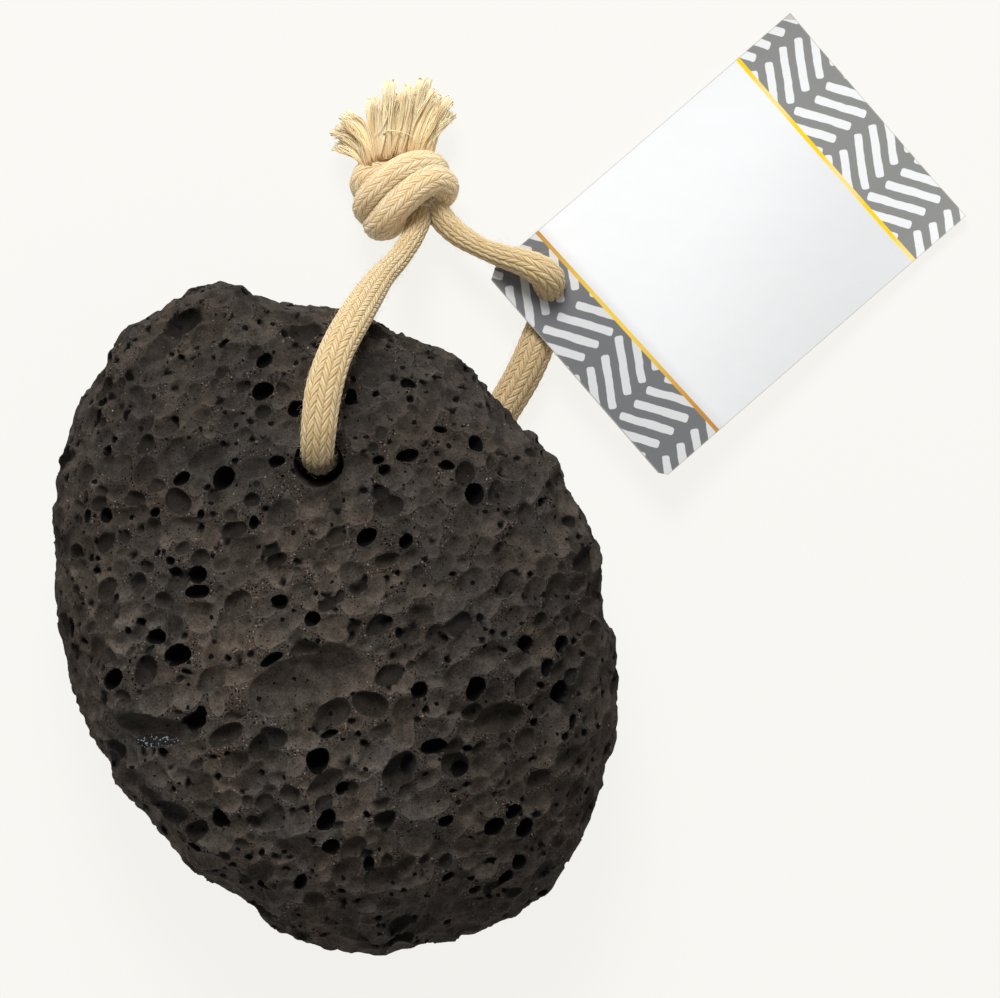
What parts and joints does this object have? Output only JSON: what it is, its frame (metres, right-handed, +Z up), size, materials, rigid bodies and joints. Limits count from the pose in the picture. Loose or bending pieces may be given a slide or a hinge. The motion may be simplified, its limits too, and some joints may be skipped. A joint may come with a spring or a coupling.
{
  "type": "pumice stone",
  "caption": "Worn oval pumice stone full of burst gas bubbles, threaded on a braided cord loop that is knotted, frayed at its ends and holds a paper tag.",
  "frame": {"origin": "under the middle of the stone's outline, on the plane that the stone lies on", "axes": "+Z up through the stone's thickness, +Y along the stone's length towards its drilled end, +X across it"},
  "size_m": [0.1279, 0.1325, 0.0405],
  "materials": {
    "stone": "matte, gritty, full of burst bubbles",
    "cord": "braided cotton, slightly fuzzy",
    "tag": "uncoated card"
  },
  "bodies": {
    "root": {"stone": "stone", "cord": "cord", "knot": "cord", "frayed_ends": "cord", "tag": "tag"}
  },
  "joints": []
}
